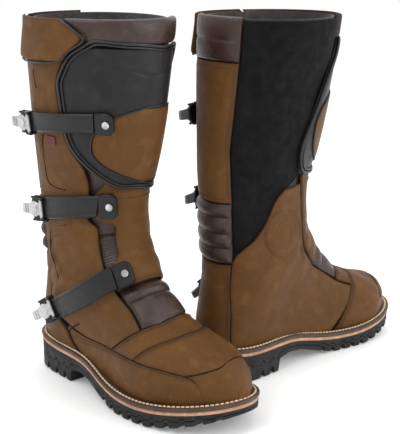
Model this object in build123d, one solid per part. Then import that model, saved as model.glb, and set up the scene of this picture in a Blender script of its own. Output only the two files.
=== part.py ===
from build123d import *
import os
from math import pi, sin, cos, hypot

import numpy as np

# A pair of tall leather adventure riding boots, millimetres, +Z up.
# Each boot is drawn once in its own frame: +X heel to toe, +Y towards the inner (medial)
# side, Z = 0 on the ground. The right boot keeps that frame. The left boot is its mirror
# image, turned and set down beside it. PAIR_CENTRE then moves the pair over the origin.

# ---------------------------------------------------------------- driving dimensions
LEFT_TURN = 91.0             # heading of the left boot, degrees from the right one
LEFT_ANKLE = (169.0, 136.0)  # where the left boot's ankle point stands
ANKLE_X = 60.0               # the ankle point lies this far along the boot
PAIR_CENTRE = (143.5, 150.75)

# Stations of the outer leather surface. Each is a plane section through a front point F
# and a back point B of the side profile: Fx, Fz, Bx, Bz, lateral and medial half width,
# centre offset, skew towards the back, and superellipse exponent.
STATIONS = [
    (162, 394, 6, 394, 74, 68, 9, 0.10, 2.1),       # rim
    (163, 345, 4, 351, 70, 60, 8, 0.14, 2.1),
    (161, 297, 1, 300, 64, 50, 7, 0.16, 2.1),       # shin
    (151, 250, -2, 249, 56, 44, 6, 0.13, 2.1),
    (139, 210, -1, 199, 50, 43, 4, 0.08, 2.1),
    (135, 180, 3, 150, 50, 48, 3, 0.02, 2.1),       # ankle
    (140, 162, 4, 105, 50, 49, 2, 0.00, 2.1),
    (152, 147, -5, 61, 50, 47, 1, -0.06, 2.2),
    (164, 131, -2, 12, 46, 40, 1, -0.12, 2.3),      # instep to heel corner
    (177, 116, 45, -12, 44, 39, 1, -0.18, 2.4),
    (190, 102, 95, -12, 48, 41, 0, -0.24, 2.4),
    (207, 91, 145, -12, 54, 47, -1, -0.28, 2.4),
    (227, 83, 190, -12, 55, 51, 0, -0.26, 2.4),     # ball of the foot
    (247, 75, 228, -10, 47, 50, 3, -0.16, 2.4),
    (266, 70, 259, -6, 35, 38, 6, 0.00, 2.4),
    (281, 61, 279, 2, 20, 23, 9, 0.08, 2.3),
    (290, 47, 289, 14, 7, 7, 11, 0.10, 2.1),        # toe tip
]

# Sole plan, going round clockwise from the back of the heel.
SOLE_PLAN = [
    (-8, 0), (-2, -23), (17, -38), (52, -43), (102, -47), (150, -57), (198, -60), (241, -50),
    (275, -29), (291, -6), (295, 16), (284, 38), (256, 54), (218, 57), (177, 50), (131, 42),
    (90, 41), (49, 42), (15, 37), (-4, 20),
]
# Height of the rubber's top face along the boot, and of its tread.
RUBBER_TOP = [(-14, 34), (0, 33), (45, 30), (80, 29.5), (105, 27.5), (135, 21), (170, 15.5),
              (220, 16), (260, 21.5), (300, 29)]
ARCH_TREAD = [(78, 15), (92, 18), (112, 16), (138, 8), (160, 1.5)]
TOE_TREAD = [(226, 1.5), (248, 6), (272, 13), (300, 24)]
HEEL_BREAST = 74.0           # front face of the heel block
BALL_START, BALL_END = 168.0, 214.0
MIDSOLE_THICK = 4.0
WELT_THICK = 5.0
WELT_LEDGE = 11.0            # how far the welt reaches in from the sole's edge
BOARD_THICK = 3.0
FIT = 0.1                    # air between layers that are sewn or glued together

LEATHER = 2.4                # thickness of the outer panels
LINING = (-9.0, -7.8)        # offsets of the lining below the outer surface
GRID_STEP = 1 / 36           # spacing of the shared sections, in u
GRID = [i * GRID_STEP for i in range(37)]
TOE_INSIDE = 0.950            # the lining closes here, behind the toe puff
TONGUE_DEEP = (-7.2, -5.8)
TONGUE_BELLOWS = (-3.6, -1.0)
PLATE = (-2.2, 0.0)
STRETCH = (-5.2, -4.0)

# Three buckled straps: name, path on the leg (u, v) from its anchor back to the buckle,
# width, and the height of its underside above the leather.
STRAPS = [
    ("upper", [(0.181, 0.846), (0.184, 0.800), (0.189, 0.745), (0.194, 0.700), (0.198, 0.664)], 20, 2.6),
    ("middle", [(0.352, 0.868), (0.355, 0.815), (0.359, 0.765), (0.363, 0.722), (0.366, 0.686)], 24, 3.4),
    ("lower", [(0.553, 0.902), (0.556, 0.850), (0.559, 0.800), (0.558, 0.755), (0.554, 0.716)], 24, 4.2),
]
STRAP_THICK = 4.0
ANCHOR_LENGTH = 15.0
LEVER_HEAD_R = 8.4
LEVER_TAIL = 17.0
LEVER_THICK = 3.0
PIN_R = 1.5
PIN_CLEARANCE = 0.05


# ---------------------------------------------------------------- curves and surface
def spline(knots, values, at):
    """Natural cubic spline through (knots, values), evaluated at one place."""
    t = np.array(knots, float)
    y = np.array(values, float)
    n, h = len(t), np.diff(t)
    a = np.eye(n)
    rhs = np.zeros_like(y)
    for i in range(1, n - 1):
        a[i, i - 1:i + 2] = h[i - 1], 2 * (h[i - 1] + h[i]), h[i]
        rhs[i] = 6 * ((y[i + 1] - y[i]) / h[i] - (y[i] - y[i - 1]) / h[i - 1])
    m = np.linalg.solve(a, rhs)
    k = int(np.clip(np.searchsorted(t, at) - 1, 0, n - 2))
    d, e, w = at - t[k], t[k + 1] - at, h[k]
    return ((m[k] * e ** 3 + m[k + 1] * d ** 3) / (6 * w)
            + (y[k] / w - m[k] * w / 6) * e + (y[k + 1] / w - m[k + 1] * w / 6) * d)


ROWS = np.array(STATIONS, float)
MIDDLES = (ROWS[:, 0:2] + ROWS[:, 2:4]) / 2
RUN = np.concatenate([[0], np.cumsum(np.hypot(*np.diff(MIDDLES, axis=0).T))])
RUN /= RUN[-1]


def leg_point(u, v, offset=0.0):
    """Point of the boot: u runs rim 0 to toe 1, v turns 0 front, 1/4 medial, 1/2 back."""
    fx, fz, bx, bz, lateral, medial, middle, skew, power = spline(RUN, ROWS, u)
    half = hypot(bx - fx, bz - fz) / 2
    ex, ez = (bx - fx) / (2 * half), (bz - fz) / (2 * half)
    c, s = cos(2 * pi * v), sin(2 * pi * v)
    c = np.sign(c) * abs(c) ** (2 / power)
    s = np.sign(s) * abs(s) ** (2 / power)
    along = -(half + offset) * c
    across = (medial if s > 0 else lateral) * (1 - skew * c) + offset
    return Vector((fx + bx) / 2 + ex * along, middle + across * s, (fz + bz) / 2 + ez * along)


def leg_frame(u, v, step=0.002):
    """Outward normal, and the directions of growing v and u, on the outer surface."""
    around = (leg_point(u, v + step) - leg_point(u, v - step)).normalized()
    down = (leg_point(u + step, v) - leg_point(u - step, v)).normalized()
    return down.cross(around).normalized(), around, down


def along(table, u):
    """Straight-line value of a border or offset table [(u, value), ...] at u."""
    if isinstance(table, (int, float)):
        return float(table)
    return float(np.interp(u, [p[0] for p in table], [p[1] for p in table]))


# ---------------------------------------------------------------- solids
def stations_between(start, stop, extra=()):
    """The places u where a panel is drawn: its ends, the shared grid, and any sharp corner."""
    grid = [u for u in GRID if start + GRID_STEP / 4 < u < stop - GRID_STEP / 4]
    grid = [u for u in grid if all(abs(u - corner) > GRID_STEP / 4 for corner in extra)]
    return sorted([start, stop, *extra, *grid])


def panel(start, stop, v_from, v_to, inner, outer, extra=(), points=9):
    """Curved sheet of the leg between two borders, ruled between plane sections."""
    wires = []
    for u in stations_between(start, stop, extra):
        turns = np.linspace(along(v_from, u), along(v_to, u), points)
        out = [leg_point(u, v, along(outer, u)) for v in turns]
        back = [leg_point(u, v, along(inner, u)) for v in turns[::-1]]
        wires.append(Wire([Spline(*out), Line(out[-1], back[0]), Spline(*back), Line(back[-1], out[0])]))
    return Solid.make_loft(wires, ruled=True)


def full_tube(start, stop, offset, points=13):
    """Solid core of the leg and foot at an offset, closed all round."""
    rings = []
    for u in stations_between(start, stop):
        halves = [[leg_point(u, v, offset) for v in np.linspace(start, start + 0.5, points)]
                  for start in (0.0, 0.5)]
        halves[1][-1] = halves[0][0]
        halves[1][0] = halves[0][-1]
        rings.append(Wire([Spline(*half) for half in halves]))
    return Solid.make_loft(rings, ruled=True)


def band(path, width, low, high, lengthen=0.0, sections=7):
    """Flat strap laid round the leg along a (u, v) path."""
    wires = []
    ts = np.linspace(0, 1, sections)
    marks = np.linspace(0, 1, len(path))
    for t in ts:
        u, v = spline(marks, [list(p) for p in path], t)
        normal, around, down = leg_frame(u, v)
        place = leg_point(u, v) + around * (lengthen * (1 if t == 0 else 0))
        corners = [place + normal * n + down * d for n, d in (
            (low, -width / 2), (high, -width / 2), (high, width / 2), (low, width / 2))]
        wires.append(Wire.make_polygon(corners, close=True))
    return Solid.make_loft(wires)


def side_region(top, bottom):
    """Prism across the boot between two side-view curves, each a list of edges' points."""
    half = 100
    face = Face(Wire.make_polygon([Vector(x, -half, z) for x, z in top + bottom[::-1]], close=True))
    return Solid.extrude(face, Vector(0, 2 * half, 0))


def curve_points(table, start, stop, count, lift=0.0):
    """Points of a smooth height curve between two places along the boot."""
    xs = [p[0] for p in table]
    zs = [p[1] for p in table]
    return [(x, spline(xs, zs, x) + lift) for x in np.linspace(start, stop, count)]


def plan_prism(inset=0.0):
    """The sole's plan as an upright block, optionally smaller all round."""
    outline = []
    for i, (x, y) in enumerate(SOLE_PLAN):
        (x0, y0), (x1, y1) = SOLE_PLAN[i - 1], SOLE_PLAN[(i + 1) % len(SOLE_PLAN)]
        length = hypot(x1 - x0, y1 - y0)
        outline.append(Vector(x - inset * (y1 - y0) / length, y + inset * (x1 - x0) / length, -5))
    return Solid.extrude(Face(Wire([Spline(*outline, periodic=True)])), Vector(0, 0, 110))


X_START, X_STOP = -14.0, 300.0
PLAN = plan_prism()
INNER_PLAN = plan_prism(WELT_LEDGE)
WELT_LIFT = MIDSOLE_THICK + WELT_THICK + 2 * FIT


def layer(low, high):
    """Slab that follows the rubber's top face between two heights above it."""
    return side_region(curve_points(RUBBER_TOP, X_START, X_STOP, 33, high),
                       curve_points(RUBBER_TOP, X_START, X_STOP, 33, low))


ABOVE_WELT = side_region([(X_START - 30, 500), (X_STOP + 30, 500)],
                         [(X_START - 30, 43.3)] + curve_points(RUBBER_TOP, X_START, X_STOP, 33, WELT_LIFT + FIT)
                         + [(X_STOP + 30, 38.3)])
ABOVE_BOARD = side_region([(X_START - 30, 500), (X_STOP + 30, 500)],
                          curve_points(RUBBER_TOP, X_START, X_STOP, 33, MIDSOLE_THICK + BOARD_THICK + 3 * FIT))


# ---------------------------------------------------------------- sole unit
def outsole():
    tread = ([(X_START, 0), (HEEL_BREAST, 0)] + curve_points(ARCH_TREAD, 78, 160, 9)
             + [(BALL_START, 0), (BALL_END, 0)] + curve_points(TOE_TREAD, 226, X_STOP, 7))
    body = PLAN & side_region(curve_points(RUBBER_TOP, X_START, X_STOP, 33), tread)
    grooves = []
    for x in (8, 27, 46, 62):
        grooves.append(groove(x, 5, 0, 9))
    for x in range(150, 286, 15):
        grooves.append(groove(x, 5.5, tread_height(x), 6.5))
    return body - grooves


def tread_height(x):
    """Height of the underside at a place along the forefoot."""
    if x < BALL_START:
        return spline(*zip(*ARCH_TREAD), min(x, 160))
    if x <= BALL_END:
        return 0.0
    return float(spline(*zip(*TOE_TREAD), x)) if x >= 226 else 0.8


def groove(x, width, z, depth, rib=34):
    """Pair of slots that cut one lug free at each side of a central rib."""
    slots = Compound(children=[
        Pos(x, side * (rib / 2 + 40), z - 3) * Box(width, 80, 2 * depth, align=(Align.CENTER,) * 3)
        for side in (-1, 1)])
    return slots


def midsole():
    return (PLAN & layer(FIT, MIDSOLE_THICK)) - shank_block(0.3)


def welt():
    ring = PLAN - INNER_PLAN
    return ring & layer(MIDSOLE_THICK + FIT, MIDSOLE_THICK + WELT_THICK)


def insole_board():
    return (INNER_INSET & layer(MIDSOLE_THICK + FIT, MIDSOLE_THICK + BOARD_THICK))


def shank_block(grow=0.0):
    """Steel shank: a stiff strip let into the midsole under the arch."""
    strip = Pos(98, 0, 30) * Box(96 + 2 * grow, 16 + 2 * grow, 60)
    return strip & layer(1.2 - grow, 2.8 + grow)


def footbed():
    core = full_tube(0.50, TOE_INSIDE, LINING[0] - 1.6)
    slab = layer(MIDSOLE_THICK + BOARD_THICK + 1.8, MIDSOLE_THICK + BOARD_THICK + 6.0)
    return core & slab


INNER_INSET = plan_prism(WELT_LEDGE + 0.3)


# ---------------------------------------------------------------- upper
# Borders shared by neighbouring panels, as (u, v) tables.
PLATE_LATERAL = [(0.045, 0.832), (0.055, 0.812), (0.072, 0.792), (0.098, 0.775), (0.120, 0.768),
                 (0.168, 0.771), (0.200, 0.775), (0.225, 0.783), (0.250, 0.803), (0.275, 0.836),
                 (0.295, 0.873), (0.312, 0.920)]
PLATE_MEDIAL = [(0.045, 1.105), (0.070, 1.140), (0.105, 1.174), (0.150, 1.193), (0.190, 1.206),
                (0.247, 1.226), (0.290, 1.215), (0.312, 1.200)]
FLAP_MEDIAL = [(0.318, 1.188), (0.372, 1.172), (0.408, 1.174), (0.458, 1.176), (0.505, 1.170),
               (0.560, 1.150), (0.600, 1.134)]
REAR_MEDIAL = [(0.0, 0.452), (0.250, 0.446), (0.297, 0.435), (0.343, 0.426), (0.445, 0.428)]
COUNTER_MEDIAL = [(0.445, 0.434), (0.482, 0.437), (0.527, 0.412), (0.570, 0.394), (0.660, 0.396)]
STRETCH_LOW = [(0.0, 0.128), (0.100, 0.145), (0.200, 0.170), (0.300, 0.178), (0.322, 0.205),
               (0.336, 0.250), (0.350, 0.273), (0.372, 0.290), (0.393, 0.310), (0.415, 0.345),
               (0.430, 0.405)]
REAR_LATERAL = [(0.0, 0.618), (0.350, 0.630), (0.440, 0.660), (0.520, 0.697), (0.600, 0.731),
                (0.660, 0.712)]
FOXING_TOP = [(0.600, 0.744), (0.642, 0.756), (0.713, 0.787), (0.760, 0.813), (0.805, 0.836),
              (0.875, 0.857), (0.920, 0.858), (0.940, 0.840), (0.955, 0.807), (0.963, 0.775)]
SEAM = 0.003                 # gap between two panels, in turns of v


def shifted(table, amount):
    return [(u, v + amount) for u, v in table]


def lining():
    shell = full_tube(0.004, TOE_INSIDE + 0.006, LINING[1]) - full_tube(0.0, TOE_INSIDE, LINING[0])
    return shell & ABOVE_WELT


def lateral_quarter():
    front = [(0.0, 0.785), (0.030, 0.810), (0.045, 0.818), (0.055, 0.802), (0.072, 0.783),
             (0.098, 0.766), (0.120, 0.759), (0.168, 0.762), (0.200, 0.766), (0.225, 0.774),
             (0.250, 0.791), (0.275, 0.818), (0.312, 0.834), (0.388, 0.836), (0.404, 0.870),
             (0.500, 0.874), (0.590, 0.884), (0.725, 0.905)]
    back = shifted(REAR_LATERAL[:4], SEAM) + [(0.560, 0.722), (0.600, 0.752), (0.642, 0.766), (0.725, 0.804)]
    return panel(0.006, 0.720, back, front, -LEATHER, 0, extra=(0.045, 0.388, 0.404))


def medial_quarter():
    front = shifted(FLAP_MEDIAL, -1 + 0.007) + [(0.640, 0.132), (0.795, 0.132)]
    back = [(0.318, 0.215), (0.336, 0.258), (0.350, 0.282), (0.372, 0.300), (0.393, 0.321),
            (0.415, 0.358), (0.432, 0.418), (0.445, 0.428), (0.482, 0.430), (0.527, 0.405),
            (0.570, 0.387), (0.660, 0.388), (0.795, 0.420)]
    return panel(0.338, 0.792, front, back, -LEATHER, 0) & ABOVE_WELT


def stretch_panel():
    return panel(0.006, 0.428, STRETCH_LOW, shifted(REAR_MEDIAL, -SEAM), *STRETCH)


def rear_calf_panel():
    return panel(0.090, 0.341, REAR_MEDIAL, REAR_LATERAL, -LEATHER, 0)


def rear_bellows():
    return panel(0.345, 0.443, REAR_MEDIAL, REAR_LATERAL, -LEATHER, 0.6)


def heel_counter():
    return panel(0.446, 0.660, COUNTER_MEDIAL, shifted(REAR_LATERAL, -SEAM), -LEATHER, 0) & ABOVE_WELT


def lateral_foxing():
    low = [(0.600, 0.737), (0.640, 0.726), (0.665, 0.717), (0.700, 0.660), (0.750, 0.600), (0.963, 0.600)]
    return panel(0.608, 0.960, low, shifted(FOXING_TOP, -SEAM), -LEATHER, 0) & ABOVE_WELT


def vamp():
    return panel(0.728, 0.800, shifted(FOXING_TOP, SEAM), 1.122, -LEATHER, 0)


def toe_cap():
    low = shifted(FOXING_TOP[4:], SEAM + 0.001) + [(0.975, 0.700)]
    wall = panel(0.804, 0.975, low, [(0.804, 1.42), (0.975, 1.39)], -LEATHER, 0, points=13)
    tip = full_tube(0.9765, 1.0, 0, points=9)
    return Compound(children=[wall & ABOVE_WELT, tip & ABOVE_WELT])


def tongue():
    back = [(0.030, 0.790), (0.100, 0.740), (0.200, 0.748), (0.250, 0.778), (0.300, 0.815),
            (0.400, 0.850), (0.560, 0.868), (0.600, 0.896), (0.745, 0.915)]
    front = [(0.030, 1.110), (0.200, 1.150), (0.500, 1.150), (0.600, 1.126), (0.745, 1.112)]
    deep = [(0.0, TONGUE_DEEP[0]), (0.600, TONGUE_DEEP[0]), (0.640, TONGUE_BELLOWS[0])]
    high = [(0.0, TONGUE_DEEP[1]), (0.600, TONGUE_DEEP[1]), (0.640, TONGUE_BELLOWS[1])]
    return panel(0.046, 0.724, back, front, deep, high, extra=(0.600, 0.640))


def collar():
    front = panel(0.0, 0.038, [(0.0, 0.802), (0.038, 0.858)], 1.112, -4.8, 2.6)
    rear = panel(0.0, 0.086, REAR_MEDIAL, REAR_LATERAL, -4.8, 1.6)
    return Compound(children=[front, rear])


def top_flap():
    front = [(0.0, 0.785), (0.030, 0.833), (0.040, 0.833), (0.055, 0.801), (0.083, 0.776)]
    inner = [(0.0, 2.0), (0.083, 4.6)]
    outer = [(0.0, 4.0), (0.083, 7.0)]
    return panel(0.0, 0.083, 0.626, front, inner, outer, extra=(0.040,))


def front_flap():
    inner = [(0.0, -4.4), (0.316, -4.4), (0.334, -2.4)]
    outer = [(0.0, -2.7), (0.316, -2.7), (0.334, -0.1)]
    lateral = [(0.050, 0.872), (0.312, 0.872), (0.326, 0.850), (0.384, 0.850), (0.402, 0.928),
               (0.498, 0.928), (0.516, 0.892), (0.590, 0.900)]
    medial = [(0.050, 1.100), (0.100, 1.120), (0.200, 1.148), (0.290, 1.150), (0.318, 1.180)] + \
        shifted(FLAP_MEDIAL[1:], -0.003)
    corners = (0.316, 0.334, 0.384, 0.402, 0.498, 0.516)
    return panel(0.050, 0.588, lateral, medial, inner, outer, extra=corners, points=11)


def shin_plate():
    return panel(0.048, 0.310, PLATE_LATERAL, PLATE_MEDIAL, *PLATE, extra=(0.060, 0.295), points=11)


def shin_inlay():
    lateral = [(0.156, 0.945), (0.170, 0.892), (0.188, 0.858), (0.215, 0.842), (0.240, 0.842),
               (0.268, 0.871), (0.285, 0.918), (0.300, 0.985)]
    medial = [(0.156, 1.100), (0.170, 1.150), (0.200, 1.183), (0.235, 1.183), (0.265, 1.165),
              (0.300, 1.080)]
    return panel(0.158, 0.298, lateral, medial, 1.0, 1.9, extra=(0.162, 0.180, 0.185, 0.285, 0.291))


# ---------------------------------------------------------------- straps and buckles
def buckle_plane(path, lift):
    """Plane at the lever head: x back along the strap, z away from the leg."""
    u, v = path[-1]
    normal, around, _ = leg_frame(u, v)
    return Plane(origin=leg_point(u, v) + normal * lift, x_dir=around * -1, z_dir=normal)


HINGE_BACK = LEVER_HEAD_R + 1.5      # lever hinge ahead of the lever head's centre
HINGE_LIFT = 2.4                     # and this far above the strap


def strap(path, width, low):
    """Ribbed plastic strap with the lever's two cheeks at its back end."""
    ribbon = band(path, width, low, low + STRAP_THICK)
    deck = Pos(-4, 0, low + STRAP_THICK / 2) * Box(22, width + 4, STRAP_THICK + 0.4)
    cheeks = [Pos(-HINGE_BACK, side * (LEVER_HEAD_R + 2.2), low + STRAP_THICK + 1.8) * Box(9, 3, 5.6)
              for side in (-1, 1)]
    bore = Pos(-HINGE_BACK, 0, low + STRAP_THICK + HINGE_LIFT) * Rot(90, 0, 0) * Cylinder(
        PIN_R + PIN_CLEARANCE, 2 * LEVER_HEAD_R + 16)
    plane = buckle_plane(path, 0)
    parts = [plane.location * piece for piece in [deck] + cheeks]
    return ribbon.fuse(*[p.solid() for p in parts]) - plane.location * bore


def lever(path, low):
    """Round-headed cast lever with a square tail and its hinge barrel and pin."""
    deck = low + STRAP_THICK + HINGE_LIFT - LEVER_THICK / 2
    head = Pos(0, 0, deck + LEVER_THICK / 2) * Cylinder(LEVER_HEAD_R, LEVER_THICK)
    tail = Pos(LEVER_TAIL / 2, 0, deck + LEVER_THICK / 2) * Box(LEVER_TAIL, 11, LEVER_THICK)
    arm = Pos(-HINGE_BACK / 2, 0, deck + LEVER_THICK / 2) * Box(HINGE_BACK, 13, LEVER_THICK)
    barrel = Pos(-HINGE_BACK, 0, deck + LEVER_THICK / 2) * Rot(90, 0, 0) * Cylinder(1.9, 16)
    pin = Pos(-HINGE_BACK, 0, deck + LEVER_THICK / 2) * Rot(90, 0, 0) * Cylinder(PIN_R, 2 * LEVER_HEAD_R + 7)
    body = head + tail + arm + barrel + pin
    return buckle_plane(path, 0).location * body


def catch(path, width):
    """Low base plate riveted to the leather under the buckle."""
    u, v = path[-1]
    return band([(u - 0.001, v + 0.012), (u, v), (u + 0.002, v - 0.024)], width - 2, 0.15, 1.9, sections=5)


def anchor(path, width, low):
    """Fixed pad that screws the strap's front end to the flap."""
    u, v = path[0]
    normal, around, _ = leg_frame(u, v)
    plane = Plane(origin=leg_point(u, v) + around * (ANCHOR_LENGTH / 2 + 5.8), x_dir=around, z_dir=normal)
    low_face = 1.6
    height = low + STRAP_THICK - low_face
    pad = Pos(0, 0, low_face + height / 2) * Box(ANCHOR_LENGTH, width + 2, height)
    pad = fillet(pad.edges().filter_by(Axis.Z).sort_by(Axis.X)[-2:], 6.5)
    screw = Pos(0, 0, low + STRAP_THICK) * Cylinder(4, 2.4)
    return plane.location * (pad + screw)


# ---------------------------------------------------------------- one boot, then the pair
def boot():
    nodes = {
        "outsole": outsole(), "midsole": midsole(), "welt": welt(), "insole_board": insole_board(),
        "shank": shank_block(), "footbed": footbed(), "lining": lining(),
        "lateral_quarter": lateral_quarter(), "medial_quarter": medial_quarter(),
        "stretch_panel": stretch_panel(), "rear_calf_panel": rear_calf_panel(),
        "rear_bellows": rear_bellows(), "heel_counter": heel_counter(),
        "lateral_foxing": lateral_foxing(), "vamp": vamp(), "toe_cap": toe_cap(), "tongue": tongue(),
        "collar": collar(), "top_flap": top_flap(), "front_flap": front_flap(),
        "shin_plate": shin_plate(), "shin_inlay": shin_inlay(),
        "catches": Compound(children=[catch(path, width) for _, path, width, _ in STRAPS]),
        "strap_anchors": Compound(children=[anchor(path, width, low) for _, path, width, low in STRAPS]),
    }
    for name, path, width, low in STRAPS:
        nodes[f"strap_{name}"] = strap(path, width, low)
        nodes[f"lever_{name}"] = lever(path, low)
    return nodes


TO_CENTRE = Location((-PAIR_CENTRE[0], -PAIR_CENTRE[1], 0))
TO_LEFT = (Location((LEFT_ANKLE[0], LEFT_ANKLE[1], 0)) * Location((0, 0, 0), (0, 0, LEFT_TURN))
           * Location((-ANKLE_X, 0, 0)))


def main():
    os.makedirs("parts", exist_ok=True)
    for name, shape in boot().items():
        right = TO_CENTRE * shape
        left = TO_CENTRE * TO_LEFT * mirror(shape, about=Plane.XZ)
        export_step(right, f"parts/right_{name}.step")
        export_step(left, f"parts/left_{name}.step")


if __name__ == "__main__":
    main()
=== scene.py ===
from math import cos, hypot, pi, radians, sin

import bmesh
import bpy
import numpy as np
from mathutils import Matrix, Vector


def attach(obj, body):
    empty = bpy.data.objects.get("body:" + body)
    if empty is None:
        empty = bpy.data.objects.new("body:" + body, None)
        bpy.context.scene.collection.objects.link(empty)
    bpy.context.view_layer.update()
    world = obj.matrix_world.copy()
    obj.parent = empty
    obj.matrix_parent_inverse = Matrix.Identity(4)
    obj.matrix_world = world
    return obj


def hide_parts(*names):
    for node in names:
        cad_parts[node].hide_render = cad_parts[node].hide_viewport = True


# A pair of tall adventure riding boots. Shapes are drawn in millimetres in one boot's own
# frame (+X heel to toe, +Y medial, +Z up); place() carries them into the shared frame.

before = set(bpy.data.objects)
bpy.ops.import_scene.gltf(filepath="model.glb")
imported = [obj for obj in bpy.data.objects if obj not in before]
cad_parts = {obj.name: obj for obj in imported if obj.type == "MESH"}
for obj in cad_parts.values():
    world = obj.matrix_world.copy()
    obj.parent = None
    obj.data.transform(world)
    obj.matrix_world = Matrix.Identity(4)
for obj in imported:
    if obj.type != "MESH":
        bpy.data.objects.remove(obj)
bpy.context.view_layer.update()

LEFT_TURN, LEFT_ANKLE, ANKLE_X = radians(91.0), (169.0, 136.0), 60.0
PAIR_CENTRE = (143.5, 150.75)
LEATHER = 2.4
STRAP_THICK, LEVER_R, LEVER_THICK, HINGE_LIFT = 4.0, 8.4, 3.0, 2.4
HINGE_BACK = LEVER_R + 1.5
BUCKLE_TILT = radians(22)

# Sections of the outer leather: front point, back point, half widths, centre, skew, power.
STATIONS = np.array([
    (162, 394, 6, 394, 74, 68, 9, 0.10, 2.1), (163, 345, 4, 351, 70, 60, 8, 0.14, 2.1),
    (161, 297, 1, 300, 64, 50, 7, 0.16, 2.1), (151, 250, -2, 249, 56, 44, 6, 0.13, 2.1),
    (139, 210, -1, 199, 50, 43, 4, 0.08, 2.1), (135, 180, 3, 150, 50, 48, 3, 0.02, 2.1),
    (140, 162, 4, 105, 50, 49, 2, 0.00, 2.1), (152, 147, -5, 61, 50, 47, 1, -0.06, 2.2),
    (164, 131, -2, 12, 46, 40, 1, -0.12, 2.3), (177, 116, 45, -12, 44, 39, 1, -0.18, 2.4),
    (190, 102, 95, -12, 48, 41, 0, -0.24, 2.4), (207, 91, 145, -12, 54, 47, -1, -0.28, 2.4),
    (227, 83, 190, -12, 55, 51, 0, -0.26, 2.4), (247, 75, 228, -10, 47, 50, 3, -0.16, 2.4),
    (266, 70, 259, -6, 35, 38, 6, 0.00, 2.4), (281, 61, 279, 2, 20, 23, 9, 0.08, 2.3),
    (290, 47, 289, 14, 7, 7, 11, 0.10, 2.1)], float)
SOLE_PLAN = [
    (-8, 0), (-2, -23), (17, -38), (52, -43), (102, -47), (150, -57), (198, -60), (241, -50),
    (275, -29), (291, -6), (295, 16), (284, 38), (256, 54), (218, 57), (177, 50), (131, 42),
    (90, 41), (49, 42), (15, 37), (-4, 20)]
RUBBER_TOP = [(-14, 34), (0, 33), (45, 30), (80, 29.5), (105, 27.5), (135, 21), (170, 15.5),
              (220, 16), (260, 21.5), (300, 29)]
TREAD = [(-14, 0), (73, 0), (75, 14.5), (92, 18), (112, 16), (138, 8), (160, 1.5), (168, 0),
         (214, 0), (226, 1.5), (248, 6), (272, 13), (300, 24)]


# ---------------------------------------------------------------- surface of the boot
def spline(knots, values, at):
    """Natural cubic spline through (knots, values) at many places."""
    t, y = np.asarray(knots, float), np.asarray(values, float)
    n, h = len(t), np.diff(t)
    a, rhs = np.eye(n), np.zeros_like(y)
    for i in range(1, n - 1):
        a[i, i - 1:i + 2] = h[i - 1], 2 * (h[i - 1] + h[i]), h[i]
        rhs[i] = 6 * ((y[i + 1] - y[i]) / h[i] - (y[i] - y[i - 1]) / h[i - 1])
    m = np.linalg.solve(a, rhs)
    at = np.asarray(at, float)
    k = np.clip(np.searchsorted(t, at) - 1, 0, n - 2)
    d, e, w = at - t[k], t[k + 1] - at, h[k]
    if y.ndim > 1:
        d, e, w = d[..., None], e[..., None], w[..., None]
    return ((m[k] * e ** 3 + m[k + 1] * d ** 3) / (6 * w)
            + (y[k] / w - m[k] * w / 6) * e + (y[k + 1] / w - m[k + 1] * w / 6) * d)


MIDDLES = (STATIONS[:, 0:2] + STATIONS[:, 2:4]) / 2
RUN = np.concatenate([[0], np.cumsum(np.hypot(*np.diff(MIDDLES, axis=0).T))])
RUN /= RUN[-1]


def leg(u, v, offset=0.0):
    """Points of the boot: u runs rim 0 to toe 1, v turns 0 front, 1/4 medial, 1/2 back."""
    u, v, offset = np.broadcast_arrays(np.asarray(u, float), np.asarray(v, float), np.asarray(offset, float))
    fx, fz, bx, bz, lateral, medial, middle, skew, power = np.moveaxis(spline(RUN, STATIONS, u), -1, 0)
    half = np.hypot(bx - fx, bz - fz) / 2
    ex, ez = (bx - fx) / (2 * half), (bz - fz) / (2 * half)
    c, s = np.cos(2 * pi * v), np.sin(2 * pi * v)
    c = np.sign(c) * np.abs(c) ** (2 / power)
    s = np.sign(s) * np.abs(s) ** (2 / power)
    along = -(half + offset) * c
    across = np.where(s > 0, medial, lateral) * (1 - skew * c) + offset
    return np.stack([(fx + bx) / 2 + ex * along, middle + across * s, (fz + bz) / 2 + ez * along], -1)


def leg_frame(u, v, step=0.002):
    """Point, outward normal, and the directions of growing v and of growing u."""
    around = leg(u, v + step) - leg(u, v - step)
    down = leg(u + step, v) - leg(u - step, v)
    around, down = around / np.linalg.norm(around), down / np.linalg.norm(down)
    normal = np.cross(down, around)
    return leg(u, v), normal / np.linalg.norm(normal), around, down


def soft(table, blur=0.006):
    """A border table [(place, value), ...] as a function with rounded corners."""
    if not isinstance(table, (list, tuple)):
        return lambda q: np.full(np.shape(q), float(table))
    grid = np.linspace(-0.6, 1.9, 2501)
    values = np.interp(grid, [p[0] for p in table], [p[1] for p in table])
    reach = np.arange(-40, 41) * 0.001
    weight = np.exp(-(reach / blur) ** 2 / 2)
    values = np.convolve(np.pad(values, 40, mode="edge"), weight / weight.sum(), mode="valid")
    return lambda q: np.interp(q, grid, values)


def shifted(table, amount):
    return [(a, b + amount) for a, b in table]


def place(points, side):
    """Boot-frame millimetres to shared-frame metres."""
    p = np.array(points, float)
    if side == "left":
        x, y = p[..., 0] - ANKLE_X, -p[..., 1]
        p = np.stack([LEFT_ANKLE[0] + x * cos(LEFT_TURN) - y * sin(LEFT_TURN),
                      LEFT_ANKLE[1] + x * sin(LEFT_TURN) + y * cos(LEFT_TURN), p[..., 2]], -1)
    return (p - np.array([PAIR_CENTRE[0], PAIR_CENTRE[1], 0.0])) / 1000


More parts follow.
